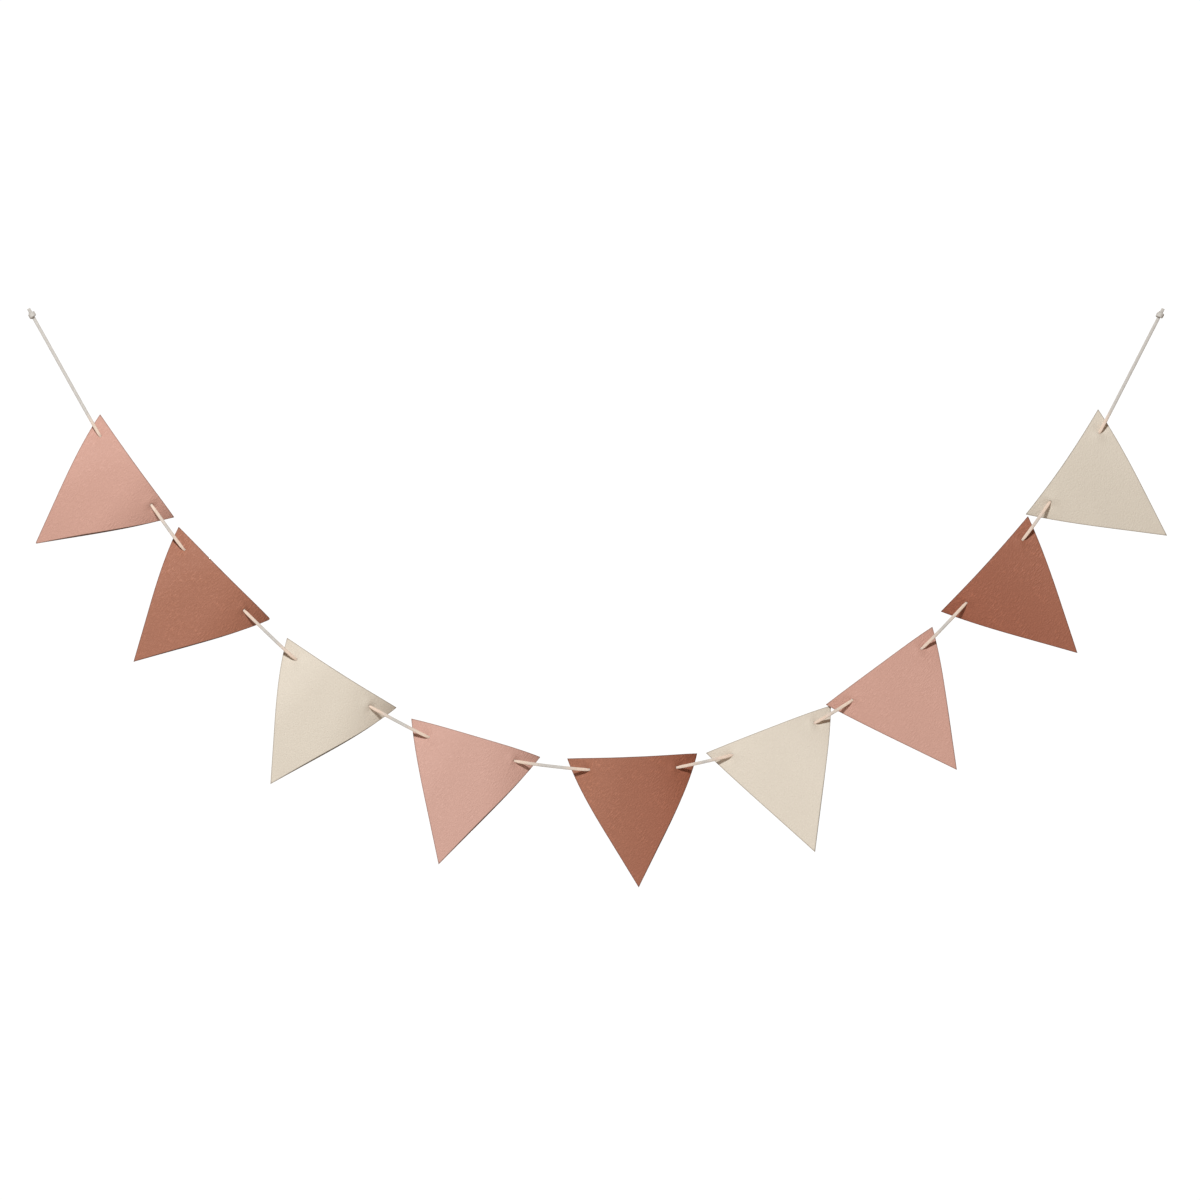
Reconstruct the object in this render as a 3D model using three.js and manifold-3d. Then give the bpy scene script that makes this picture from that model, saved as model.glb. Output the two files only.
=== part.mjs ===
import * as THREE from 'three';
import { mergeVertices } from 'three/addons/utils/BufferGeometryUtils.js';
import Module from 'manifold-3d';

// A garland of nine triangular pennants in leather cloth, threaded on one flat cord.
// Millimetres. X runs along the garland to the right, Y away from the viewer, Z up.
// The origin is the middle of the knot at the cord's left end, where the garland is tied up.

// The sheet that the pennants are cut from, and the punched holes
const THICKNESS = 1.6;
const PUNCH = 4.2;
const PUNCH_LENGTH = 6;

// Each top corner rolls back behind the cord, from this far inside it, in a direction that
// climbs this many degrees above the top edge
const ROLL_FROM = 64;
const ROLL_SLANT = 15;
const STRONGEST_ROLL = 80;

// The cord and its knots
const CORD_WIDTH = 3.6;
const CORD_DEPTH = 1.8;
const CORD_CORNER = 0.5;
const CLEARANCE = 0.35;
const KNOT_RADIUS = 4.2;
const KNOT_LENGTH = 8;
const KNOT_FULLNESS = 0.7;
const TAIL_LENGTH = 5;

// How finely the faces are divided
const GRID = 14;
const PUNCH_SIDES = 16;
const CORD_STEPS_PER_SPAN = 2;
const KNOT_SIDES = 14;
const KNOT_RINGS = 6;
const SLOPE_STEP = 0.5;
const BISECTIONS = 40;
const FLAT_POINT_STEPS = 30;

const LEATHER = {
  rose: { color: 0xcf9f8d, roughness: 0.55, metalness: 0 },
  terracotta: { color: 0xa56a53, roughness: 0.5, metalness: 0 },
  cream: { color: 0xdcd2be, roughness: 0.55, metalness: 0 },
};
const CORD_FINISH = { color: 0xe9ddca, roughness: 0.85, metalness: 0 };

// The cord's line from knot to knot, in front of the corners and behind the middle of each
// pennant. It goes through a punched hole wherever it changes side, and sags in the widest gap.
const FRONT = -1.6;
const BACK = 1.6;
const ROUTE = [
  { x: 2.2, y: 0, z: -3.7 },
  { x: 65.9, y: FRONT, z: -117 },
  { x: 71.5, y: BACK, z: -126.4 },
  { x: 115.7, y: BACK, z: -185 },
  { x: 122.7, y: FRONT, z: -194.5 },
  { x: 148.8, y: FRONT, z: -230.5 },
  { x: 155.9, y: BACK, z: -238.9 },
  { x: 207.7, y: BACK, z: -291.1 },
  { x: 215.6, y: FRONT, z: -298.8 },
  { x: 260.2, y: FRONT, z: -341.2 },
  { x: 268.8, y: BACK, z: -348 },
  { x: 332.4, y: BACK, z: -388.1 },
  { x: 341.9, y: FRONT, z: -393.6 },
  { x: 391.9, y: FRONT, z: -420 },
  { x: 402.1, y: BACK, z: -424.5 },
  { x: 476.8, y: BACK, z: -444.6 },
  { x: 488.1, y: FRONT, z: -446.9 },
  { x: 519.5, y: FRONT, z: -451.2 },
  { x: 551.5, y: FRONT, z: -454.4 },
  { x: 563.5, y: BACK, z: -455 },
  { x: 638.8, y: BACK, z: -453.6 },
  { x: 650.4, y: FRONT, z: -451.4 },
  { x: 694.7, y: FRONT, z: -441.4 },
  { x: 706.3, y: BACK, z: -438 },
  { x: 777, y: BACK, z: -410.9 },
  { x: 787.6, y: FRONT, z: -405.3 },
  { x: 815.4, y: FRONT, z: -388.3 },
  { x: 825.4, y: BACK, z: -381.4 },
  { x: 884.9, y: BACK, z: -337.6 },
  { x: 893.9, y: FRONT, z: -329.7 },
  { x: 930, y: FRONT, z: -292.3 },
  { x: 938.2, y: BACK, z: -283.6 },
  { x: 986.4, y: BACK, z: -229.9 },
  { x: 994, y: FRONT, z: -220.4 },
  { x: 1014.7, y: FRONT, z: -191.5 },
  { x: 1021.6, y: BACK, z: -181.7 },
  { x: 1064.2, y: BACK, z: -123.6 },
  { x: 1070, y: FRONT, z: -112.6 },
  { x: 1126, y: 0, z: -3.9 },
];

// One row for each pennant, from left to right.
// left, right: where its two top corners hang, as x and z.
// base, height: the top edge and the drop to the tip, as cut.
// leftRoll, rightRoll: how strongly each top corner rolls back, one against the other.
// lean: how far the tip tilts away from the viewer, in degrees.
// twist: how far the tip turns about the pennant's own middle line, in degrees.
const PENNANTS = [
  {
    name: 'pennant_1', leather: 'rose',
    left: [66.5, -99.3], right: [140.6, -201.3], base: 136.5, height: 128,
    leftRoll: 0.8, rightRoll: 1.25, lean: 1, twist: 9,
  },
  {
    name: 'pennant_2', leather: 'terracotta',
    left: [145.3, -211.9], right: [237, -304], base: 142, height: 127,
    leftRoll: 1, rightRoll: 1.1, lean: 1, twist: -2,
  },
  {
    name: 'pennant_3', leather: 'cream',
    left: [254.2, -323.2], right: [363.3, -392.8], base: 143.5, height: 132,
    leftRoll: 1, rightRoll: 1.1, lean: 4, twist: -1,
  },
  {
    name: 'pennant_4', leather: 'rose',
    left: [378.8, -404.5], right: [507.8, -442.3], base: 144.5, height: 133,
    leftRoll: 0.9, rightRoll: 1.1, lean: -3, twist: -1,
  },
  {
    name: 'pennant_5', leather: 'terracotta',
    left: [535.5, -444.3], right: [665.2, -439], base: 144.5, height: 131.5,
    leftRoll: 1, rightRoll: 1.1, lean: 4, twist: 1,
  },
  {
    name: 'pennant_6', leather: 'cream',
    left: [674.5, -438.8], right: [799.2, -390.6], base: 139.5, height: 132,
    leftRoll: 0.8, rightRoll: 1.3, lean: -4, twist: -8,
  },
  {
    name: 'pennant_7', leather: 'rose',
    left: [794.8, -390.2], right: [901, -311.7], base: 138.5, height: 130.3,
    leftRoll: 0.8, rightRoll: 1.2, lean: -3, twist: -4,
  },
  {
    name: 'pennant_8', leather: 'terracotta',
    left: [910, -296.2], right: [996.8, -201.2], base: 135.5, height: 128.5,
    leftRoll: 1.3, rightRoll: 0.8, lean: 4, twist: -8,
  },
  {
    name: 'pennant_9', leather: 'cream',
    left: [995, -199], right: [1066.8, -94], base: 133, height: 128.5,
    leftRoll: 1.2, rightRoll: 0.9, lean: 7, twist: -3,
  },
];

const wasm = await Module();
wasm.setup();

const TO_BACK = new THREE.Vector3(0, 1, 0);
const { degToRad } = THREE.MathUtils;

// A closed geometry as a solid that can be cut
function toSolid(geometry) {
  geometry.deleteAttribute('normal');
  geometry.deleteAttribute('uv');
  const merged = mergeVertices(geometry);
  return new wasm.Manifold(new wasm.Mesh({
    numProp: 3,
    vertProperties: merged.attributes.position.array,
    triVerts: new Uint32Array(merged.index.array),
  }));
}

function toGeometry(solid) {
  const mesh = solid.getMesh();
  const geometry = new THREE.BufferGeometry();
  geometry.setAttribute('position', new THREE.BufferAttribute(mesh.vertProperties, 3));
  geometry.setIndex(new THREE.BufferAttribute(mesh.triVerts, 1));
  geometry.computeVertexNormals();
  return geometry;
}

// The cord's line as a smooth curve, with the same number of steps between any two route
// points, and a flat side that always faces the viewer
class CordLine extends THREE.CatmullRomCurve3 {
  getSpacedPoints(steps) {
    return this.getPoints(steps);
  }

  computeFrenetFrames(steps) {
    const frames = { tangents: [], normals: [], binormals: [] };
    for (let i = 0; i <= steps; i += 1) {
      const tangent = this.getTangent(i / steps);
      const normal = new THREE.Vector3().crossVectors(TO_BACK, tangent).normalize();
      frames.tangents.push(tangent);
      frames.normals.push(normal);
      frames.binormals.push(new THREE.Vector3().crossVectors(tangent, normal));
    }
    return frames;
  }
}

// A flat strip with its corners taken off, drawn along the cord's line. Spare is the room
// left round it.
function makeCord(spare) {
  const line = new CordLine(ROUTE.map(({ x, y, z }) => new THREE.Vector3(x, y, z)));
  const w = CORD_WIDTH / 2 + spare;
  const d = CORD_DEPTH / 2 + spare;
  const c = CORD_CORNER;
  const section = new THREE.Shape();
  section.moveTo(w, c - d);
  section.lineTo(w, d - c);
  section.lineTo(w - c, d);
  section.lineTo(c - w, d);
  section.lineTo(-w, d - c);
  section.lineTo(-w, c - d);
  section.lineTo(c - w, -d);
  section.lineTo(w - c, -d);
  section.closePath();
  const steps = (ROUTE.length - 1) * CORD_STEPS_PER_SPAN;
  return new THREE.ExtrudeGeometry(section, { extrudePath: line, steps });
}

// Where a point of the flat pennant comes to when its top corners roll back. U runs along the
// top edge from its middle and v down towards the tip.
function rollBack(row, strength, u, v) {
  const side = u < 0 ? -1 : 1;
  const turn = strength * (side < 0 ? row.leftRoll : row.rightRoll);
  const outU = side * Math.cos(degToRad(ROLL_SLANT));
  const outV = -Math.sin(degToRad(ROLL_SLANT));
  const past = Math.max(0, ROLL_FROM + (u - (side * row.base) / 2) * outU + v * outV);
  const radius = ROLL_FROM / turn;
  const reach = radius * Math.sin(past / radius);
  return new THREE.Vector3(
    u + (reach - past) * outU,
    radius * (1 - Math.cos(past / radius)),
    -v - (reach - past) * outV,
  );
}

function topCorners(row, strength) {
  return [-1, 1].map((side) => rollBack(row, strength, (side * row.base) / 2, 0));
}

// The roll that brings the two top corners as close together as they hang
function rollStrength(row, spacing) {
  let weak = 0;
  let strong = degToRad(STRONGEST_ROLL);
  for (let i = 0; i < BISECTIONS; i += 1) {
    const middle = (weak + strong) / 2;
    const [leftCorner, rightCorner] = topCorners(row, middle);
    if (rightCorner.x - leftCorner.x < spacing) {
      strong = middle;
    } else {
      weak = middle;
    }
  }
  return (weak + strong) / 2;
}

// A function that takes any flat point to where it hangs, about the point halfway between the
// two top corners
function hanging(row, spacing) {
  const strength = rollStrength(row, spacing);
  const [leftCorner, rightCorner] = topCorners(row, strength);
  const middle = leftCorner.add(rightCorner).multiplyScalar(0.5);
  const tilt = new THREE.Matrix4().makeRotationX(degToRad(row.lean));
  const turn = new THREE.Matrix4();
  return (u, v) => {
    const point = rollBack(row, strength, u, v).sub(middle);
    turn.makeRotationZ(degToRad(row.twist) * (v / row.height));
    return point.applyMatrix4(turn).applyMatrix4(tilt);
  };
}

// The flat point that hangs at a given place, seen from the front
function flatPointAt(hang, place) {
  const flat = { u: place.x, v: -place.z };
  for (let i = 0; i < FLAT_POINT_STEPS; i += 1) {
    const point = hang(flat.u, flat.v);
    flat.u += place.x - point.x;
    flat.v += point.z - place.z;
  }
  return flat;
}

// The side of the sheet that faces away from the viewer, at a flat point
function backOf(hang, u, v) {
  const across = hang(u + SLOPE_STEP, v).sub(hang(u - SLOPE_STEP, v));
  const down = hang(u, v + SLOPE_STEP).sub(hang(u, v - SLOPE_STEP));
  return across.cross(down).normalize();
}

// The bent sheet: a front and a back skin on a triangular grid, joined round the rim
function makeSheet(row, hang) {
  const positions = [];
  const index = [];
  const number = (i, j) => (i * (2 * GRID + 3 - i)) / 2 + j;
  const backSkin = number(GRID, 0) + 1;
  for (const side of [-1, 1]) {
    for (let i = 0; i <= GRID; i += 1) {
      for (let j = 0; j <= GRID - i; j += 1) {
        const u = row.base * ((j + i / 2) / GRID - 0.5);
        const v = (row.height * i) / GRID;
        const point = hang(u, v).addScaledVector(backOf(hang, u, v), (side * THICKNESS) / 2);
        positions.push(point.x, point.y, point.z);
      }
    }
  }
  const addFace = (a, b, c) => {
    index.push(a, b, c);
    index.push(backSkin + a, backSkin + c, backSkin + b);
  };
  for (let i = 0; i < GRID; i += 1) {
    for (let j = 0; j < GRID - i; j += 1) {
      addFace(number(i, j), number(i + 1, j), number(i, j + 1));
      if (j < GRID - i - 1) {
        addFace(number(i + 1, j), number(i + 1, j + 1), number(i, j + 1));
      }
    }
  }
  const rim = [];
  for (let k = 0; k < GRID; k += 1) rim.push(number(0, k));
  for (let k = 0; k < GRID; k += 1) rim.push(number(k, GRID - k));
  for (let k = 0; k < GRID; k += 1) rim.push(number(GRID - k, 0));
  rim.forEach((a, k) => {
    const b = rim[(k + 1) % rim.length];
    index.push(a, b, backSkin + b);
    index.push(a, backSkin + b, backSkin + a);
  });
  const geometry = new THREE.BufferGeometry();
  geometry.setAttribute('position', new THREE.Float32BufferAttribute(positions, 3));
  geometry.setIndex(index);
  return geometry;
}

// The punch that cuts a hole square through the sheet
function makePunch(hang, { u, v }) {
  const punch = new THREE.CylinderGeometry(PUNCH / 2, PUNCH / 2, PUNCH_LENGTH, PUNCH_SIDES);
  punch.applyQuaternion(new THREE.Quaternion().setFromUnitVectors(TO_BACK, backOf(hang, u, v)));
  punch.translate(...hang(u, v));
  return punch;
}

// A knot of the cord: a round lump with the cord's short tail beyond it, along +Z
function makeKnot() {
  const profile = [new THREE.Vector2(0, -KNOT_LENGTH / 2)];
  for (let i = 1; i < KNOT_RINGS; i += 1) {
    const angle = Math.PI * (i / KNOT_RINGS - 0.5);
    profile.push(new THREE.Vector2(
      KNOT_RADIUS * Math.cos(angle) ** KNOT_FULLNESS,
      (KNOT_LENGTH / 2) * Math.sin(angle),
    ));
  }
  const tail = (CORD_WIDTH + CORD_DEPTH) / 4;
  profile.push(new THREE.Vector2(tail, KNOT_LENGTH / 2));
  profile.push(new THREE.Vector2(tail, KNOT_LENGTH / 2 + TAIL_LENGTH));
  profile.push(new THREE.Vector2(0, KNOT_LENGTH / 2 + TAIL_LENGTH));
  return new THREE.LatheGeometry(profile, KNOT_SIDES);
}

function addMesh(group, name, geometry, finish) {
  const mesh = new THREE.Mesh(geometry, new THREE.MeshStandardMaterial(finish));
  mesh.name = name;
  group.add(mesh);
  return mesh;
}

const garland = new THREE.Group();

addMesh(garland, 'cord', makeCord(0), CORD_FINISH);

const holes = [];
ROUTE.slice(1).forEach((next, i) => {
  const last = ROUTE[i];
  if (last.y * next.y < 0) {
    holes.push(new THREE.Vector3((last.x + next.x) / 2, 0, (last.z + next.z) / 2));
  }
});

PENNANTS.forEach((row, i) => {
  const left = new THREE.Vector3(row.left[0], 0, row.left[1]);
  const right = new THREE.Vector3(row.right[0], 0, row.right[1]);
  const hang = hanging(row, left.distanceTo(right));
  const placing = new THREE.Group();
  placing.position.copy(left).add(right).multiplyScalar(0.5);
  placing.rotation.y = Math.atan2(left.z - right.z, right.x - left.x);
  placing.updateMatrixWorld(true);
  garland.add(placing);

  // Turned and set back until the sheet meets the cord at both holes
  const punched = holes
    .slice(2 * i, 2 * i + 2)
    .map((hole) => flatPointAt(hang, placing.worldToLocal(hole)));
  const [leftHole, rightHole] = punched.map(({ u, v }) => hang(u, v));
  const seat = new THREE.Group();
  seat.rotation.z = -Math.atan2(rightHole.y - leftHole.y, rightHole.x - leftHole.x);
  seat.position.y = -leftHole.clone().applyEuler(seat.rotation).y;
  placing.add(seat);
  seat.updateMatrixWorld(true);

  const room = makeCord(CLEARANCE).applyMatrix4(seat.matrixWorld.clone().invert());
  const sheet = toSolid(makeSheet(row, hang))
    .subtract(toSolid(makePunch(hang, punched[0])))
    .subtract(toSolid(makePunch(hang, punched[1])))
    .subtract(toSolid(room));
  addMesh(seat, row.name, toGeometry(sheet), LEATHER[row.leather]);
});

for (const [name, end, next] of [
  ['left_knot', ROUTE[0], ROUTE[1]],
  ['right_knot', ROUTE.at(-1), ROUTE.at(-2)],
]) {
  const outward = new THREE.Vector3(end.x - next.x, end.y - next.y, end.z - next.z).normalize();
  const knot = addMesh(garland, name, makeKnot(), CORD_FINISH);
  knot.quaternion.setFromUnitVectors(new THREE.Vector3(0, 1, 0), outward);
  knot.position.set(end.x, end.y, end.z).addScaledVector(outward, KNOT_LENGTH / 2 + CLEARANCE);
}

export default garland;
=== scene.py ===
import math
from collections import namedtuple

import bmesh
import bpy
import numpy as np
from mathutils import Matrix, Vector


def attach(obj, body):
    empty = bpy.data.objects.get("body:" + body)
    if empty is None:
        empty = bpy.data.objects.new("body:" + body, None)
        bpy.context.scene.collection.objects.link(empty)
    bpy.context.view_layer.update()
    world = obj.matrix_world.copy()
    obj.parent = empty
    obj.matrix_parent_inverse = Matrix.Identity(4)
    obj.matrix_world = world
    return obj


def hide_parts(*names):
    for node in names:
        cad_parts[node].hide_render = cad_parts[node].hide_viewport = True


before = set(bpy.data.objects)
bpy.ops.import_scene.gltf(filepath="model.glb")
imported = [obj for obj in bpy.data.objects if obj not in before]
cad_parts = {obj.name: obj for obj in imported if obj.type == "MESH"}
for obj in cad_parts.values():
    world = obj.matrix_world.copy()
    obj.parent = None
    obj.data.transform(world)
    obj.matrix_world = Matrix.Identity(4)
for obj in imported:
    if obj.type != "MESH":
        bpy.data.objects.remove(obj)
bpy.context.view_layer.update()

# The viewpoint
# The garland is seen square on from the front, from far enough away that it hardly tapers.
VIEW_WIDTH = 1.2
VIEW_DISTANCE = 4.0
VIEW_CENTRE = Vector((0.568, 0, -0.285))
SENSOR_WIDTH = 36

camera = bpy.data.objects.new("camera", bpy.data.cameras.new("camera"))
camera.data.sensor_width = SENSOR_WIDTH
camera.data.lens = SENSOR_WIDTH * VIEW_DISTANCE / VIEW_WIDTH
camera.location = VIEW_CENTRE - Vector((0, VIEW_DISTANCE, 0))
camera.rotation_euler = (math.pi / 2, 0, 0)
bpy.context.scene.collection.objects.link(camera)
bpy.context.scene.camera = camera

# The lace and its two end knots
# A flat cream cotton lace, braided, carries the pennants. It runs in front of every corner,
# goes through the punched hole and runs on behind the pennant. A barrel knot ends each side.
LACE_WIDTH = 0.0033
LACE_DEPTH = 0.0019
LACE_ROUNDING = 0.0009
LACE_SQUEEZE = 0.25
SQUEEZE_REACH = 0.003
# Painted warm bounce light on the lace: full near each hole, and gone at the farther reach
PAINTED_BOUNCE_FROM = 0.028
PAINTED_BOUNCE_TO = 0.012
LACE_ROUNDING_STEPS = 4
LACE_SPLITS = (40, 38)
LINE_STEPS = 3800
FRONT = -0.0016
BACK = 0.0016
ROUTE = [
    (0.0022, 0, -0.0037),
    (0.0659, FRONT, -0.117),
    (0.0715, BACK, -0.1264),
    (0.1157, BACK, -0.185),
    (0.1227, FRONT, -0.1945),
    (0.1488, FRONT, -0.2305),
    (0.1559, BACK, -0.2389),
    (0.2077, BACK, -0.2911),
    (0.2156, FRONT, -0.2988),
    (0.2602, FRONT, -0.3412),
    (0.2688, BACK, -0.348),
    (0.3324, BACK, -0.3881),
    (0.3419, FRONT, -0.3936),
    (0.3919, FRONT, -0.42),
    (0.4021, BACK, -0.4245),
    (0.4768, BACK, -0.4446),
    (0.4881, FRONT, -0.4469),
    (0.5195, FRONT, -0.4512),
    (0.5515, FRONT, -0.4544),
    (0.5635, BACK, -0.455),
    (0.6388, BACK, -0.4536),
    (0.6504, FRONT, -0.4514),
    (0.6947, FRONT, -0.4414),
    (0.7063, BACK, -0.438),
    (0.777, BACK, -0.4109),
    (0.7876, FRONT, -0.4053),
    (0.8154, FRONT, -0.3883),
    (0.8254, BACK, -0.3814),
    (0.8849, BACK, -0.3376),
    (0.8939, FRONT, -0.3297),
    (0.93, FRONT, -0.2923),
    (0.9382, BACK, -0.2836),
    (0.9864, BACK, -0.2299),
    (0.994, FRONT, -0.2204),
    (1.0147, FRONT, -0.1915),
    (1.0216, BACK, -0.1817),
    (1.0642, BACK, -0.1236),
    (1.07, FRONT, -0.1126),
    (1.126, 0, -0.0039),
]
KNOT_RADIUS = 0.0029
KNOT_TURNS = 2.25
KNOT_LENGTH = 0.0054
KNOT_GAP = 0.00435
KNOT_STEPS = 90
KNOT_TUCK = 0.12
TUCKED_REACH = 0.55
WRAPPED_SHARE = 0.72
WRAP_WIDTH = 0.95 * LACE_WIDTH
WRAP_DEPTH = 0.85 * LACE_DEPTH
WRAP_SPLITS = (8, 8)
CORE_SHARE = 0.75
CORE_SPLITS = (4, 4)
TAIL_LENGTH = 0.0045
TO_BACK = Vector((0, 1, 0))


def lace_point(t):
    """The middle of the lace, for t from 0 at its left end to 1 at its right end."""
    points = [Vector(p) for p in ROUTE]
    points = [2 * points[0] - points[1], *points, 2 * points[-1] - points[-2]]
    spans = len(ROUTE) - 1
    i = min(int(t * spans), spans - 1)
    s = t * spans - i
    a, b, c, d = points[i : i + 4]
    ab, bc, cd = (math.sqrt((q - p).length) for p, q in ((a, b), (b, c), (c, d)))
    leaving = ((b - a) / ab - (c - a) / (ab + bc) + (c - b) / bc) * bc
    arriving = ((c - b) / bc - (d - b) / (bc + cd) + (d - c) / cd) * bc
    near = b * (2 * s**3 - 3 * s**2 + 1) + leaving * (s**3 - 2 * s**2 + s)
    return near + c * (3 * s**2 - 2 * s**3) + arriving * (s**3 - s**2)


def straight_strip(mesh, length, width, depth, splits):
    """A straight flat strip with round long edges: X along it, Y across it and Z through it."""
    def lengthwise():
        return [e for e in mesh.edges if abs(e.verts[0].co.x - e.verts[1].co.x) > 1e-6]

    bmesh.ops.create_cube(mesh, size=1)
    bmesh.ops.scale(mesh, vec=(length, width, depth), verts=mesh.verts)
    bmesh.ops.translate(mesh, vec=(length / 2, 0, 0), verts=mesh.verts)
    bmesh.ops.bevel(
        mesh, geom=lengthwise(), offset=LACE_ROUNDING, segments=LACE_ROUNDING_STEPS,
        profile=0.5, affect="EDGES", material=-1,
    )
    for pieces in splits:
        bmesh.ops.subdivide_edges(mesh, edges=lengthwise(), cuts=pieces - 1)


def lengths_along(line):
    """How far along a line each of its points lies."""
    steps = np.linalg.norm(np.diff(np.array(line), axis=0), axis=1)
    return np.concatenate([[0], np.cumsum(steps)])


def lay_along(mesh, line, outward):
    """Lays a straight strip along a line. Outward is the way that its upper face looks there."""
    along = lengths_along(line)
    line = np.array(line)
    outward = np.array(outward)
    forward = np.gradient(line, along, axis=0)
    across = np.cross(outward, forward)
    across /= np.linalg.norm(across, axis=1, keepdims=True)
    through = np.cross(forward, across)
    through /= np.linalg.norm(through, axis=1, keepdims=True)
    places = np.array([v.co for v in mesh.verts])

    def at(values):
        return np.stack([np.interp(places[:, 0], along, values[:, k]) for k in range(3)], axis=1)

    laid = at(line) + at(across) * places[:, 1:2] + at(through) * places[:, 2:3]
    for vert, place in zip(mesh.verts, laid):
        vert.co = place


def finish_mesh(mesh, name, materials, sharp_angle):
    """Turns the edited mesh into a piece of that name, shaded smooth but for its sharp edges."""
    data = bpy.data.meshes.new(name)
    mesh.to_mesh(data)
    mesh.free()
    for material in materials:
        data.materials.append(material)
    data.shade_smooth()
    data.set_sharp_from_angle(angle=sharp_angle)
    piece = bpy.data.objects.new(name, data)
    bpy.context.scene.collection.objects.link(piece)
    return piece


def add_node(tree, kind, values=None, **settings):
    """A shader node. Each value is a plain one, or the socket that feeds that input."""
    node = tree.nodes.new(kind)
    for setting, choice in settings.items():
        setattr(node, setting, choice)
    for key, value in (values or {}).items():
        if isinstance(value, bpy.types.NodeSocket):
            tree.links.new(value, node.inputs[key])
        else:
            node.inputs[key].default_value = value
    return node


def math_node(tree, operation, *values):
    return add_node(tree, "ShaderNodeMath", dict(enumerate(values)), operation=operation).outputs[0]


def mix_colours(tree, share, first, second):
    """The second colour over the first, by that share."""
    node = add_node(tree, "ShaderNodeMix", {0: share, 6: first, 7: second}, data_type="RGBA")
    return node.outputs[2]


def new_effect(name, inputs, outputs):
    """A shader group with named sockets, each given as its name and its kind."""
    tree = bpy.data.node_groups.new(name, "ShaderNodeTree")
    for label, kind in inputs:
        tree.interface.new_socket(name=label, in_out="INPUT", socket_type="NodeSocket" + kind)
    for label, kind in outputs:
        tree.interface.new_socket(name=label, in_out="OUTPUT", socket_type="NodeSocket" + kind)
    return tree, tree.nodes.new("NodeGroupInput"), tree.nodes.new("NodeGroupOutput")


def new_finish(name):
    """A material with its shader, and a function that places a shader group in it."""
    material = bpy.data.materials.new(name)
    material.use_nodes = True
    tree = material.node_tree
    shader = tree.nodes["Principled BSDF"]

    def place(effect, values):
        return add_node(tree, "ShaderNodeGroup", values, node_tree=effect)

    return material, tree, shader, place


# Over-and-under threads that cross on the slant, as in a braided lace or a woven backing
weave, given, made = new_effect(
    "weave", [("Vector", "Vector"), ("Threads", "Float")], [("Height", "Float")]
)
place_on = add_node(weave, "ShaderNodeSeparateXYZ", {0: given.outputs["Vector"]})
turns = math_node(weave, "MULTIPLY", given.outputs["Threads"], math.tau)
rising = math_node(weave, "ADD", place_on.outputs[0], place_on.outputs[1])
falling = math_node(weave, "SUBTRACT", place_on.outputs[0], place_on.outputs[1])
crests = [
    math_node(weave, "SINE", math_node(weave, "MULTIPLY", slant, turns))
    for slant in (rising, falling)
]
weave.links.new(math_node(weave, "MULTIPLY", *crests), made.inputs["Height"])

# Soft blotches of two tones, as dye and handling leave them
mottle, given, made = new_effect(
    "mottle",
    [("Vector", "Vector"), ("Blotches", "Float"), ("Light", "Color"), ("Deep", "Color")],
    [("Colour", "Color")],
)
blotches = add_node(
    mottle, "ShaderNodeTexNoise",
    {"Vector": given.outputs["Vector"], "Scale": given.outputs["Blotches"],
     "Detail": 5.0, "Roughness": 0.6},
)
spread = add_node(
    mottle, "ShaderNodeMapRange",
    {"Value": blotches.outputs["Fac"], "From Min": 0.32, "From Max": 0.68},
    interpolation_type="SMOOTHSTEP",
)
mottle.links.new(
    mix_colours(mottle, spread.outputs[0], given.outputs["Deep"], given.outputs["Light"]),
    made.inputs["Colour"],
)

lace_finish, tree, shader, place = new_finish("cream_lace")
lace_map = add_node(tree, "ShaderNodeUVMap", uv_map="lace").outputs[0]
threads = place(weave, {"Vector": lace_map, "Threads": 4.0})
# Where the lace lies on the corners its tones turn warm: painted warm light bounced from the leather
painted_bounce = add_node(tree, "ShaderNodeAttribute", attribute_name="painted_bounce").outputs["Fac"]
tones = place(
    mottle,
    {"Vector": lace_map, "Blotches": 0.9,
     "Light": mix_colours(tree, painted_bounce, (0.61, 0.58, 0.54, 1), (0.84, 0.665, 0.55, 1)),
     "Deep": mix_colours(tree, painted_bounce, (0.56, 0.525, 0.485, 1), (0.77, 0.59, 0.46, 1))},
)
# The braid's hollows are painted darker: painted shade between the threads
hollow_shade = add_node(
    tree, "ShaderNodeMapRange",
    {"Value": threads.outputs["Height"], "From Min": -1.0, "From Max": 0.4,
     "To Min": 0.22, "To Max": 0.0},
)
tree.links.new(
    mix_colours(tree, hollow_shade.outputs[0], tones.outputs["Colour"], (0.5, 0.4, 0.28, 1)),
    shader.inputs["Base Color"],
)
relief = add_node(
    tree, "ShaderNodeBump",
    {"Height": threads.outputs["Height"], "Strength": 0.35, "Distance": 0.00015},
)
tree.links.new(relief.outputs[0], shader.inputs["Normal"])
shader.inputs["Roughness"].default_value = 0.82
shader.inputs["Sheen Weight"].default_value = 0.25
shader.inputs["Sheen Roughness"].default_value = 0.5


def map_strip(mesh):
    """The strip's own map, in lace widths along it and across it."""
    layer = mesh.loops.layers.uv.new("lace")
    for face in mesh.faces:
        for loop in face.loops:
            co = loop.vert.co
            loop[layer].uv = (co.x / LACE_WIDTH, (co.y + abs(co.z)) / LACE_WIDTH)


LACE_EDGE_ANGLE = math.radians(60)
lace_line = [lace_point(k / LINE_STEPS) for k in range(LINE_STEPS + 1)]
along_lace = lengths_along(lace_line)
strip = bmesh.new()
straight_strip(strip, along_lace[-1], LACE_WIDTH, LACE_DEPTH, LACE_SPLITS)
map_strip(strip)
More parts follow.
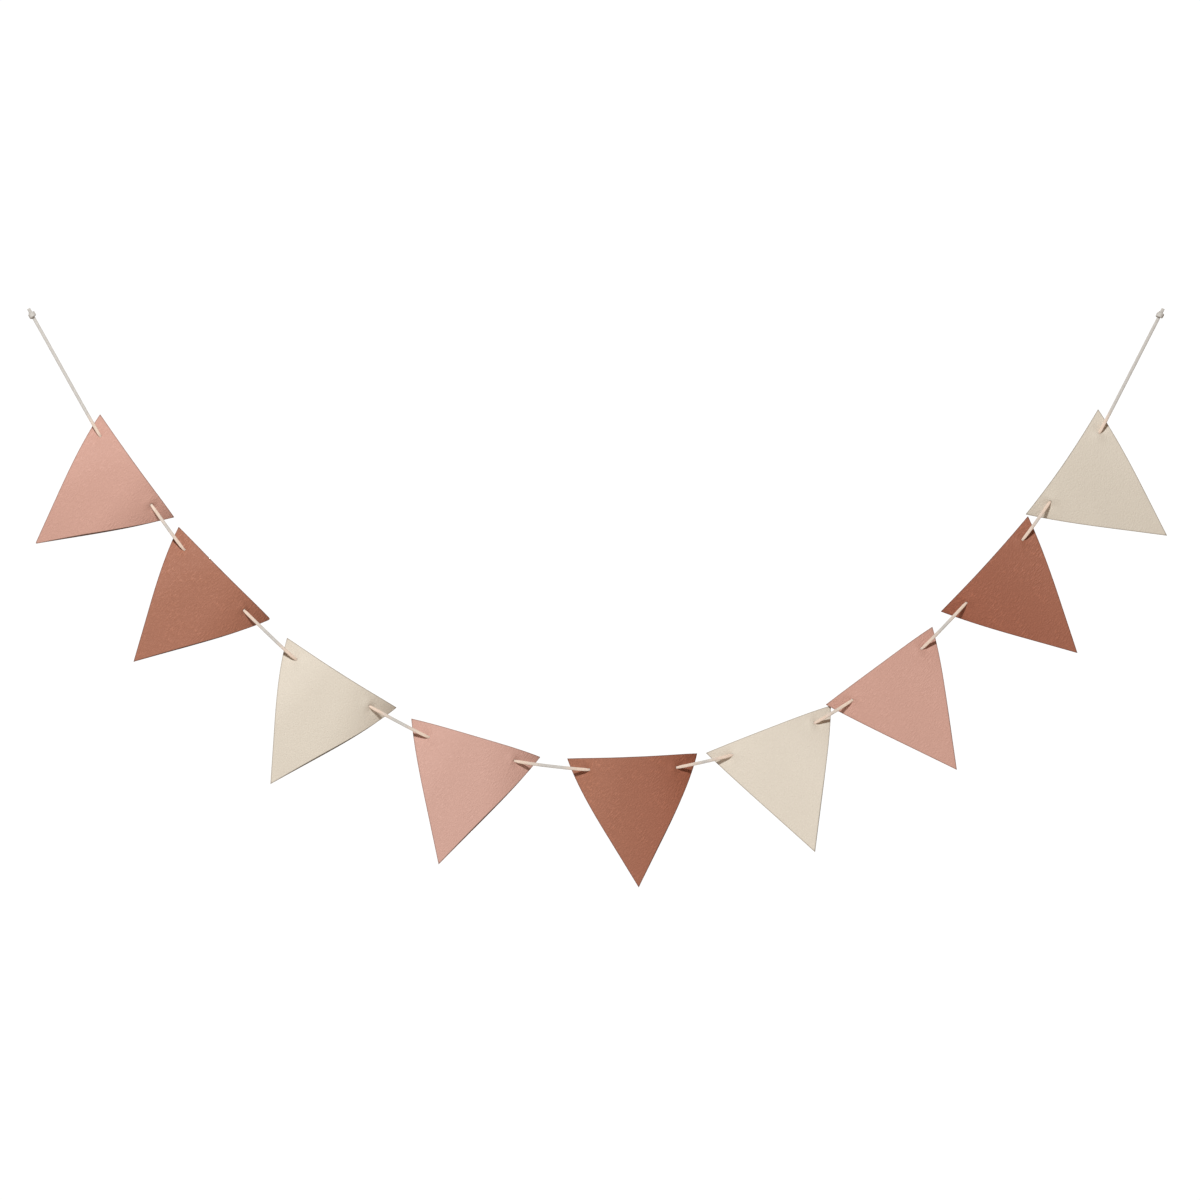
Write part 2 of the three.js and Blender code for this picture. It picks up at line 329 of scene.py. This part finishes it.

# The holes squeeze the lace, and warm light bounced from the leather is painted into the lace where it
# lies on the corners
steps_per_span = LINE_STEPS / (len(ROUTE) - 1)
hole_spans = [k for k, (a, b) in enumerate(zip(ROUTE, ROUTE[1:])) if a[1] * b[1] < 0]
through_holes = np.array([along_lace[round((k + 0.5) * steps_per_span)] for k in hole_spans])
painted_bounce_layer = strip.verts.layers.float.new("painted_bounce")
for vert in strip.verts:
    from_hole = np.abs(through_holes - vert.co.x).min()
    vert.co.y *= 1 - LACE_SQUEEZE * math.exp(-((from_hole / SQUEEZE_REACH) ** 2))
    vert[painted_bounce_layer] = min(max((PAINTED_BOUNCE_FROM - from_hole) / (PAINTED_BOUNCE_FROM - PAINTED_BOUNCE_TO), 0), 1)
lay_along(strip, lace_line, [TO_BACK] * len(lace_line))
lace = finish_mesh(strip, "braided_lace", [lace_finish], LACE_EDGE_ANGLE)

knots = []
for node, end, towards in (
    ("left_knot", Vector(ROUTE[0]), Vector(ROUTE[1])),
    ("right_knot", Vector(ROUTE[-1]), Vector(ROUTE[-2])),
):
    axis = (end - towards).normalized()
    centre = end + axis * KNOT_GAP
    side = axis.cross(TO_BACK).normalized()
    round_knot = side.cross(axis)
    knot = bmesh.new()
    core = bmesh.new()
    core_start = centre - axis * KNOT_LENGTH * CORE_SHARE
    core_end = centre + axis * (KNOT_LENGTH / 2 + TAIL_LENGTH)
    straight_strip(core, (core_end - core_start).length, LACE_WIDTH, LACE_DEPTH, CORE_SPLITS)
    map_strip(core)
    lay_along(core, [core_start, centre, core_end], [TO_BACK] * 3)
    wrap_line = []
    wrap_out = []
    for k in range(KNOT_STEPS + 1):
        f = k / KNOT_STEPS
        turned = math.tau * KNOT_TURNS * f
        tucked = min(1.0, f / KNOT_TUCK, (1 - f) / KNOT_TUCK)
        out = side * math.cos(turned) + round_knot * math.sin(turned)
        rise = math.sin(tucked * math.pi / 2)
        reach = KNOT_RADIUS * (TUCKED_REACH + (1 - TUCKED_REACH) * rise)
        wrap_line.append(centre + axis * KNOT_LENGTH * (0.5 - f) * WRAPPED_SHARE + out * reach)
        wrap_out.append(out)
    wrap = bmesh.new()
    straight_strip(wrap, lengths_along(wrap_line)[-1], WRAP_WIDTH, WRAP_DEPTH, WRAP_SPLITS)
    map_strip(wrap)
    lay_along(wrap, wrap_line, wrap_out)
    for part in (core, wrap):
        joined = bpy.data.meshes.new(node)
        part.to_mesh(joined)
        part.free()
        knot.from_mesh(joined)
        bpy.data.meshes.remove(joined)
    knots.append(finish_mesh(knot, "tied_" + node, [lace_finish], LACE_EDGE_ANGLE))
    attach(knots[-1], "root")
    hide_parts(node)

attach(lace, "root")
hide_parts("cord")

# The nine pennants
# Triangles of smooth leather cloth on a fabric backing, cut with a knife so that the dark core
# shows at the edge. Two punched holes hang each on the lace, which pushes its corners back.
SHEET_THICKNESS = 0.0016
HOLE_RADIUS = 0.0014
HOLE_SIDES = 20
NEAR_HOLE = 2 * HOLE_RADIUS
HOLE_RIM = 1.5 * HOLE_RADIUS
CUT_TOLERANCE = 1e-7
GRID = 64
BURR = 0.00025
BURR_STEPS = 2
FACING = 0.3
ROLL_FROM = 0.064
ROLL_SLANT = math.radians(15)
STRONGEST_ROLL = math.radians(80)
PUCKER = 0.0009
PUCKER_REACH = 0.0042
MAP_SIZE = 0.18
PEBBLES = 144.0
WRINKLE_SLANT = math.radians(50)
WRINKLE_SIZE = (1 / 38, 1 / 118, 1)
FLAT_WRINKLES = 0.7
BENT_WRINKLES = 1.3
FULL_BEND = 0.8
BLOTCH_SHARE = 0.02
EDGE_DARKENING = 0.6
EDGE_DARKENING_WIDTH = 0.0013
SLOPE_STEP = 0.0004
BISECTIONS = 40
FLAT_POINT_STEPS = 30
RIM_ANGLE = math.radians(50)
TIP = 1
RIGHT_CORNER = 2
CORNER_REACH = 0.0012
BLUNT_CORNERS = {"pennant_1": (TIP, 0.0008), "pennant_2": (RIGHT_CORNER, 0.0014)}
# The last value of each leather is the share of painted shade in the grain's hollows
LEATHERS = {
    "rose": {"light": (0.67, 0.39, 0.314, 1), "deep": (0.64, 0.35, 0.272, 1),
             "core": (0.13, 0.06, 0.04, 1), "backing": (0.62, 0.46, 0.4, 1),
             "wrinkles": 3.2, "pit_shade": 0.14},
    "terracotta": {"light": (0.47, 0.19, 0.112, 1), "deep": (0.388, 0.118, 0.06, 1),
                   "core": (0.08, 0.03, 0.02, 1), "backing": (0.42, 0.25, 0.19, 1),
                   "wrinkles": 4.4, "pit_shade": 0.26},
    "cream": {"light": (0.748, 0.664, 0.554, 1), "deep": (0.69, 0.61, 0.5, 1),
              "core": (0.2, 0.16, 0.12, 1), "backing": (0.7, 0.64, 0.55, 1),
              "wrinkles": 1.2, "pit_shade": 0.07},
}
# Across each pennant a painted shade runs from its left corner to its right one: the two columns
# before knife_slant give how far its tone goes from the light one to the deep one at either side
Pennant = namedtuple(
    "Pennant",
    "name leather left right base height left_roll right_roll lean twist left_dye right_dye "
    "knife_slant",
)
PENNANTS = [
    Pennant("pennant_1", "rose", (0.0665, -0.0993), (0.1406, -0.2013),
            0.1365, 0.128, 0.8, 1.25, 1, 9, 0.9, 1, 0.002),
    Pennant("pennant_2", "terracotta", (0.1453, -0.2119), (0.237, -0.304),
            0.142, 0.127, 1, 1.1, 1, -2, 0, 0.4, 0.001),
    Pennant("pennant_3", "cream", (0.2542, -0.3232), (0.3633, -0.3928),
            0.1435, 0.132, 1, 1.1, 4, -1, 0.2, 0.8, 0.0016),
    Pennant("pennant_4", "rose", (0.3788, -0.4045), (0.5078, -0.4423),
            0.1445, 0.133, 0.9, 1.1, -3, -1, 0, 0.3, 0.0012),
    Pennant("pennant_5", "terracotta", (0.5355, -0.4443), (0.6652, -0.439),
            0.1445, 0.1315, 1, 1.1, 4, 1, 0, 1, 0.0007),
    Pennant("pennant_6", "cream", (0.6745, -0.4388), (0.7992, -0.3906),
            0.1395, 0.132, 0.8, 1.3, -4, -8, 0.2, 0.4, 0.0002),
    Pennant("pennant_7", "rose", (0.7948, -0.3902), (0.901, -0.3117),
            0.1385, 0.1303, 0.8, 1.2, -3, -4, 0.9, 1, 0.0002),
    Pennant("pennant_8", "terracotta", (0.91, -0.2962), (0.9968, -0.2012),
            0.1355, 0.1285, 1.3, 0.8, 4, -8, 1, 0.45, 0.0001),
    Pennant("pennant_9", "cream", (0.995, -0.199), (1.0668, -0.094),
            0.133, 0.1285, 1.2, 0.9, 7, -3, 0.8, 0.3, 0.0001),
]

# A fine pebble with short slanting wrinkles, as embossed leather cloth has
grain, given, made = new_effect(
    "grain",
    [("Vector", "Vector"), ("Pebbles", "Float"), ("Wrinkles", "Float")],
    [("Height", "Float")],
)
pebbles = add_node(
    grain, "ShaderNodeTexVoronoi",
    {"Vector": given.outputs["Vector"], "Scale": given.outputs["Pebbles"], "Smoothness": 0.6},
    feature="SMOOTH_F1",
)
slanted = add_node(
    grain, "ShaderNodeMapping",
    {"Vector": given.outputs["Vector"], "Rotation": (0, 0, WRINKLE_SLANT),
     "Scale": WRINKLE_SIZE},
    vector_type="TEXTURE",
)
wrinkles = add_node(
    grain, "ShaderNodeTexNoise",
    {"Vector": slanted.outputs[0], "Scale": 1.0, "Detail": 1.5, "Roughness": 0.5},
)
patches = add_node(
    grain, "ShaderNodeTexNoise", {"Vector": given.outputs["Vector"], "Scale": 9.0, "Detail": 1.0}
)
where = add_node(
    grain, "ShaderNodeMapRange",
    {"Value": patches.outputs["Fac"], "From Min": 0.38, "From Max": 0.62, "To Min": 0.35},
    interpolation_type="SMOOTHSTEP",
)
shown = math_node(grain, "MULTIPLY", where.outputs[0], given.outputs["Wrinkles"])
folds = math_node(grain, "SUBTRACT", wrinkles.outputs["Fac"], 0.5)
grain.links.new(
    math_node(grain, "SUBTRACT", math_node(grain, "MULTIPLY", folds, shown),
              pebbles.outputs["Distance"]),
    made.inputs["Height"],
)

# A darker line along a cut edge: full at the edge, and gone at its width inside it
cut_edge, given, made = new_effect(
    "cut_edge", [("Distance", "Float"), ("Width", "Float")], [("Line", "Float")]
)
inside = math_node(cut_edge, "DIVIDE", given.outputs["Distance"], given.outputs["Width"])
cut_edge.links.new(
    add_node(
        cut_edge, "ShaderNodeMapRange",
        {"Value": inside, "From Min": 0.0, "From Max": 1.0, "To Min": 1.0, "To Max": 0.0},
        interpolation_type="SMOOTHSTEP",
    ).outputs[0],
    made.inputs["Line"],
)


def darker(colour, share):
    return tuple(share * part for part in colour[:3]) + (1,)


def leather_finishes(name, tones):
    """The face, the cut edge and the backing of one colour of leather cloth."""
    face, tree, shader, place = new_finish(name + "_leather")
    cloth_map = add_node(tree, "ShaderNodeUVMap", uv_map="cloth").outputs[0]
    bend = add_node(tree, "ShaderNodeAttribute", attribute_name="bend")
    wrinkled = add_node(
        tree, "ShaderNodeMapRange",
        {"Value": bend.outputs["Fac"], "From Min": 0.0, "From Max": FULL_BEND,
         "To Min": FLAT_WRINKLES * tones["wrinkles"],
         "To Max": BENT_WRINKLES * tones["wrinkles"]},
    )
    relief = place(
        grain, {"Vector": cloth_map, "Pebbles": PEBBLES, "Wrinkles": wrinkled.outputs[0]}
    )
    # Painted shade across the pennant: its tone goes from the light one towards the deep one, side to
    # side, as the light falls on it
    dye = add_node(tree, "ShaderNodeAttribute", attribute_name="dye")
    shaded_tone = mix_colours(tree, dye.outputs["Fac"], tones["light"], tones["deep"])
    colour = place(
        mottle,
        {"Vector": cloth_map, "Blotches": 5.0, "Light": shaded_tone,
         "Deep": mix_colours(tree, BLOTCH_SHARE, shaded_tone, tones["core"])},
    )
    # The grain's pits are painted darker, towards the core colour: painted shade in the hollows of the
    # grain
    pit_shade = add_node(
        tree, "ShaderNodeMapRange",
        {"Value": relief.outputs["Height"], "From Min": -0.5, "From Max": 0.5,
         "To Min": tones["pit_shade"], "To Max": 0.0},
    )
    pit_shaded = mix_colours(tree, pit_shade.outputs[0], colour.outputs["Colour"], tones["core"])
    # The face darkens towards each cut edge, towards the core colour
    distance = add_node(tree, "ShaderNodeAttribute", attribute_name="edge_distance")
    line = place(cut_edge, {"Distance": distance.outputs["Fac"], "Width": EDGE_DARKENING_WIDTH})
    edge_darkened = math_node(tree, "MULTIPLY", line.outputs["Line"], EDGE_DARKENING)
    tree.links.new(
        mix_colours(tree, edge_darkened, pit_shaded, tones["core"]), shader.inputs["Base Color"]
    )
    bump = add_node(
        tree, "ShaderNodeBump",
        {"Height": relief.outputs["Height"], "Strength": 0.35, "Distance": 0.0006},
    )
    tree.links.new(bump.outputs[0], shader.inputs["Normal"])
    gloss = add_node(
        tree, "ShaderNodeMapRange",
        {"Value": relief.outputs["Height"], "From Min": -0.7, "From Max": 0.2,
         "To Min": 0.74, "To Max": 0.6},
    )
    tree.links.new(gloss.outputs[0], shader.inputs["Roughness"])

    edge, tree, shader, place = new_finish(name + "_cut_edge")
    solid_place = add_node(tree, "ShaderNodeTexCoord").outputs["Object"]
    colour = place(
        mottle,
        {"Vector": solid_place, "Blotches": 700.0, "Light": tones["core"],
         "Deep": darker(tones["core"], 0.6)},
    )
    tree.links.new(colour.outputs["Colour"], shader.inputs["Base Color"])
    shader.inputs["Roughness"].default_value = 0.85

    backing, tree, shader, place = new_finish(name + "_backing")
    cloth_map = add_node(tree, "ShaderNodeUVMap", uv_map="cloth").outputs[0]
    threads = place(weave, {"Vector": cloth_map, "Threads": 90.0})
    colour = place(
        mottle,
        {"Vector": cloth_map, "Blotches": 30.0, "Light": tones["backing"],
         "Deep": darker(tones["backing"], 0.86)},
    )
    tree.links.new(colour.outputs["Colour"], shader.inputs["Base Color"])
    bump = add_node(
        tree, "ShaderNodeBump",
        {"Height": threads.outputs["Height"], "Strength": 0.5, "Distance": 0.0002},
    )
    tree.links.new(bump.outputs[0], shader.inputs["Normal"])
    shader.inputs["Roughness"].default_value = 0.9
    shader.inputs["Sheen Weight"].default_value = 0.3
    return [face, edge, backing]


def roll_back(row, strength, u, v):
    """Where flat points come to when the top corners roll back. U runs along the top edge from
    its middle and v down to the tip."""
    side = np.where(u < 0, -1.0, 1.0)
    turn = strength * np.where(u < 0, row.left_roll, row.right_roll)
    out_u = side * math.cos(ROLL_SLANT)
    out_v = -math.sin(ROLL_SLANT)
    past = np.maximum(0, ROLL_FROM + (u - side * row.base / 2) * out_u + v * out_v)
    radius = ROLL_FROM / turn
    reach = radius * np.sin(past / radius)
    back = radius * (1 - np.cos(past / radius))
    return np.stack([u + (reach - past) * out_u, back, -v - (reach - past) * out_v], axis=-1)


def hanging(row, spacing):
    """A function that takes flat points to where they hang, about the middle of the top edge."""
    ends = np.array([-row.base / 2, row.base / 2])
    weak = 0
    strong = STRONGEST_ROLL
    for _ in range(BISECTIONS):
        strength = (weak + strong) / 2
        left, right = roll_back(row, strength, ends, np.zeros(2))
        if right[0] - left[0] < spacing:
            strong = strength
        else:
            weak = strength
    middle = roll_back(row, strength, ends, np.zeros(2)).mean(axis=0)
    lean = math.radians(row.lean)

    def hang(u, v):
        x, y, z = np.moveaxis(roll_back(row, strength, u, v) - middle, -1, 0)
        turn = math.radians(row.twist) * v / row.height
        x, y = x * np.cos(turn) - y * np.sin(turn), x * np.sin(turn) + y * np.cos(turn)
        y, z = y * math.cos(lean) - z * math.sin(lean), y * math.sin(lean) + z * math.cos(lean)
        return np.stack([x, y, z], axis=-1)

    return hang


def back_of(hang, u, v):
    """The way that the sheet's back faces, at flat points."""
    across = hang(u + SLOPE_STEP, v) - hang(u - SLOPE_STEP, v)
    down = hang(u, v + SLOPE_STEP) - hang(u, v - SLOPE_STEP)
    out = np.cross(across, down)
    return out / np.linalg.norm(out, axis=-1, keepdims=True)


def flat_point_at(hang, place):
    """The flat point that hangs at a place, seen from the front."""
    u, v = place.x, -place.z
    for _ in range(FLAT_POINT_STEPS):
        x, _, z = hang(u, v)
        u += place.x - x
        v += z - place.z
    return u, v


def punch(sheet, u, v):
    """Cuts a round hole in the flat sheet."""
    centre = Vector((u, 0, -v))
    ways = [
        Vector((math.cos(math.tau * k / HOLE_SIDES), 0, math.sin(math.tau * k / HOLE_SIDES)))
        for k in range(HOLE_SIDES)
    ]
    for way in ways:
        near = [f for f in sheet.faces if (f.calc_center_median() - centre).length < NEAR_HOLE]
        around = dict.fromkeys([e for f in near for e in f.edges] + [x for f in near for x in f.verts])
        bmesh.ops.bisect_plane(
            sheet, geom=near + list(around), dist=CUT_TOLERANCE,
            plane_co=centre + way * HOLE_RADIUS, plane_no=way,
        )
    punched = [
        f for f in sheet.faces
        if all((f.calc_center_median() - centre).dot(way) < HOLE_RADIUS for way in ways)
    ]
    bmesh.ops.delete(sheet, geom=punched, context="FACES")


def from_right_cut(row, u, v):
    """How far inside the right-hand cut a flat point lies."""
    cut_length = math.hypot(row.height, row.base / 2)
    return (row.height * (row.base / 2 - u) - v * row.base / 2) / cut_length


def mark_cloth(sheet, row, slope):
    """Gives the flat sheet its map, and what its materials read: how far it is to the nearest
    cut edge, how far its painted shade takes its tone towards the deep one and how far the sheet
    bends."""
    cloth_map = sheet.loops.layers.uv.new("cloth")
    edge_distance = sheet.verts.layers.float.new("edge_distance")
    dye = sheet.verts.layers.float.new("dye")
    bend = sheet.verts.layers.float.new("bend")
    for vert in sheet.verts:
        u, v = abs(vert.co.x), -vert.co.z
        vert[edge_distance] = max(0.0, min(v, from_right_cut(row, u, v)))
        # Painted shade, from the left corner's share to the right corner's
        share = min(max(0.5 + vert.co.x / row.base, 0), 1)
        vert[dye] = row.left_dye + (row.right_dye - row.left_dye) * share
        vert[bend] = max(0.0, 1 - (row.base / 2 - u) / ROLL_FROM)
    grain_way = Matrix.Rotation(slope, 4, "Y")
    for face in sheet.faces:
        facing = face.normal.y
        face.material_index = 0 if facing < -FACING else 2 if facing > FACING else 1
        for loop in face.loops:
            place = grain_way @ (loop.vert.co + Vector((0, 0, row.height / 3)))
            loop[cloth_map].uv = (0.5 + place.x / MAP_SIZE, 0.5 + place.z / MAP_SIZE)


def pare_right_cut(sheet, row):
    """The knife leaned over along the right-hand side, and pared the face back from the edge."""
    inward = Vector((-row.height, 0, row.base / 2)).normalized()
    for vert in sheet.verts:
        u, v = vert.co.x, -vert.co.z
        if from_right_cut(row, u, v) < 2 * BURR:
            along = min(max(v / row.height, 0), 1)
            pared = row.knife_slant * 4 * along * (1 - along)
            vert.co += inward * pared * (0.5 - vert.co.y / SHEET_THICKNESS)


def wear_corner(sheet, row, corner, worn):
    """Blunts one corner of the sheet, towards its middle."""
    to_middle = (Vector((0, 0, -row.height / 3)) - corner).normalized()
    for vert in sheet.verts:
        if math.hypot(vert.co.x - corner.x, vert.co.z - corner.z) < CORNER_REACH:
            vert.co += to_middle * worn


def cut_pennant(row, holes, slope):
    """The flat sheet: a triangle with its top edge along X and its tip down, punched twice. The
    slope is that of the top edge as hung, and the leather's grain runs the same way in them all."""
    sheet = bmesh.new()
    outline = ((-row.base / 2, 0, 0), (0, 0, -row.height), (row.base / 2, 0, 0))
    sheet.faces.new([sheet.verts.new(corner) for corner in outline])
    bmesh.ops.subdivide_edges(sheet, edges=sheet.edges, cuts=GRID - 1, use_grid_fill=True)
    for u, v in holes:
        punch(sheet, u, v)
    bmesh.ops.solidify(sheet, geom=sheet.faces[:], thickness=SHEET_THICKNESS)
    deep = [vert.co.y for vert in sheet.verts]
    bmesh.ops.translate(sheet, vec=(0, -(min(deep) + max(deep)) / 2, 0), verts=sheet.verts)
    bmesh.ops.recalc_face_normals(sheet, faces=sheet.faces)

    def clear_of_holes(edge):
        middle = (edge.verts[0].co + edge.verts[1].co) / 2
        return all(math.hypot(middle.x - u, middle.z + v) > HOLE_RIM for u, v in holes)

    rims = [e for e in sheet.edges
            if len(e.link_faces) == 2 and e.calc_face_angle() > RIM_ANGLE and clear_of_holes(e)
            and abs(e.verts[0].co.y - e.verts[1].co.y) < SHEET_THICKNESS / 2]
    bmesh.ops.bevel(
        sheet, geom=rims, offset=BURR, segments=BURR_STEPS, profile=0.5, affect="EDGES",
        material=-1,
    )
    mark_cloth(sheet, row, slope)
    pare_right_cut(sheet, row)
    if row.name in BLUNT_CORNERS:
        which, worn = BLUNT_CORNERS[row.name]
        wear_corner(sheet, row, Vector(outline[which]), worn)
    return sheet


def pucker(holes, ways, u, v):
    """How far the lace pushes the sheet back outside each hole, and forward inside it."""
    pushed = 0
    for (hole_u, hole_v), (way_u, way_v) in zip(holes, ways):
        outside = (u - hole_u) * way_u + (v - hole_v) * way_v
        far = ((u - hole_u) ** 2 + (v - hole_v) ** 2) / PUCKER_REACH**2
        pushed = pushed + PUCKER * (outside / PUCKER_REACH) * np.exp((1 - far) / 2)
    return pushed


finishes = {name: leather_finishes(name, tones) for name, tones in LEATHERS.items()}
for number, row in enumerate(PENNANTS):
    left = Vector((row.left[0], 0, row.left[1]))
    right = Vector((row.right[0], 0, row.right[1]))
    hang = hanging(row, (right - left).length)
    slope = math.atan2(left.z - right.z, right.x - left.x)
    placing = Matrix.Translation((left + right) / 2) @ Matrix.Rotation(slope, 4, "Y")
    holes = []
    ways = []
    for k in hole_spans[2 * number : 2 * number + 2]:
        a, b = Vector(ROUTE[k]), Vector(ROUTE[k + 1])
        hole = (a + b) / 2
        hole.y = 0
        holes.append(flat_point_at(hang, placing.inverted() @ hole))
        out = placing.inverted().to_3x3() @ ((a - b) if a.y < 0 else (b - a))
        ways.append(Vector((out.x, -out.z)).normalized())

    # Turned and set back until the sheet meets the lace at both holes
    left_hole, right_hole = (Vector(hang(u, v)) for u, v in holes)
    across = right_hole - left_hole
    level = Matrix.Rotation(-math.atan2(across.y, across.x), 4, "Z")
    seat = Matrix.Translation((0, -(level @ left_hole).y, 0)) @ level
    sheet = cut_pennant(row, holes, slope)
    flat = np.array([vert.co for vert in sheet.verts])
    u, v = flat[:, 0], -flat[:, 2]
    deep = flat[:, 1] + pucker(holes, ways, u, v)
    hung = hang(u, v) + back_of(hang, u, v) * deep[:, None]
    for vert, point in zip(sheet.verts, hung):
        vert.co = placing @ seat @ Vector(point)
    pennant = finish_mesh(sheet, f"{row.leather}_{row.name}", finishes[row.leather], RIM_ANGLE)
    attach(pennant, "root")
    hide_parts(row.name)

# The studio
# A pale floor lies well below the garland. One soft lamp stands above the viewer and a weaker
# one behind, for the backing, in a dim warm room with a white backdrop.
FLOOR_DROP = 0.95
FLOOR_RADIUS = 2.3
FLOOR_SIDES = 96
LAMP_SIZE = 0.4
FRONT_LAMP = {"place": (-0.214, -3.148, 1.864), "power": 157, "colour": (0.905, 0.961, 1)}
BACK_LAMP = {"place": (1.1, 3.2, 1.3), "power": 56, "colour": (1, 0.97, 0.94)}
ROOM_COLOUR = (1, 0.62, 0.37, 1)
ROOM_STRENGTH = 0.15
BACKDROP_COLOUR = (1, 1, 1, 1)
BACKDROP_STRENGTH = 1.05
floor_mesh = bmesh.new()
bmesh.ops.create_circle(
    floor_mesh, cap_ends=True, segments=FLOOR_SIDES, radius=FLOOR_RADIUS,
    matrix=Matrix.Translation(VIEW_CENTRE - Vector((0, 0, FLOOR_DROP))),
)
floor_finish, tree, shader, place = new_finish("pale_floor")
shader.inputs["Base Color"].default_value = (0.86, 0.85, 0.83, 1)
shader.inputs["Roughness"].default_value = 0.9
floor = finish_mesh(floor_mesh, "floor", [floor_finish], RIM_ANGLE)

for name, row in (("front_lamp", FRONT_LAMP), ("back_lamp", BACK_LAMP)):
    lamp = bpy.data.objects.new(name, bpy.data.lights.new(name, "AREA"))
    lamp.data.size = LAMP_SIZE
    lamp.data.energy = row["power"]
    lamp.data.color = row["colour"]
    lamp.location = row["place"]
    lamp.rotation_mode = "QUATERNION"
    lamp.rotation_quaternion = (VIEW_CENTRE - lamp.location).to_track_quat("-Z", "Y")
    bpy.context.scene.collection.objects.link(lamp)

world = bpy.data.worlds.new("studio")
world.use_nodes = True
tree = world.node_tree
room = tree.nodes["Background"]
room.inputs["Color"].default_value = ROOM_COLOUR
room.inputs["Strength"].default_value = ROOM_STRENGTH
backdrop = add_node(
    tree, "ShaderNodeBackground", {"Color": BACKDROP_COLOUR, "Strength": BACKDROP_STRENGTH}
)
seen = add_node(tree, "ShaderNodeLightPath").outputs["Is Camera Ray"]
both = add_node(
    tree, "ShaderNodeMixShader", {0: seen, 1: room.outputs[0], 2: backdrop.outputs[0]}
)
tree.links.new(both.outputs[0], tree.nodes["World Output"].inputs["Surface"])
bpy.context.scene.world = world
bpy.context.scene.view_settings.view_transform = "Standard"
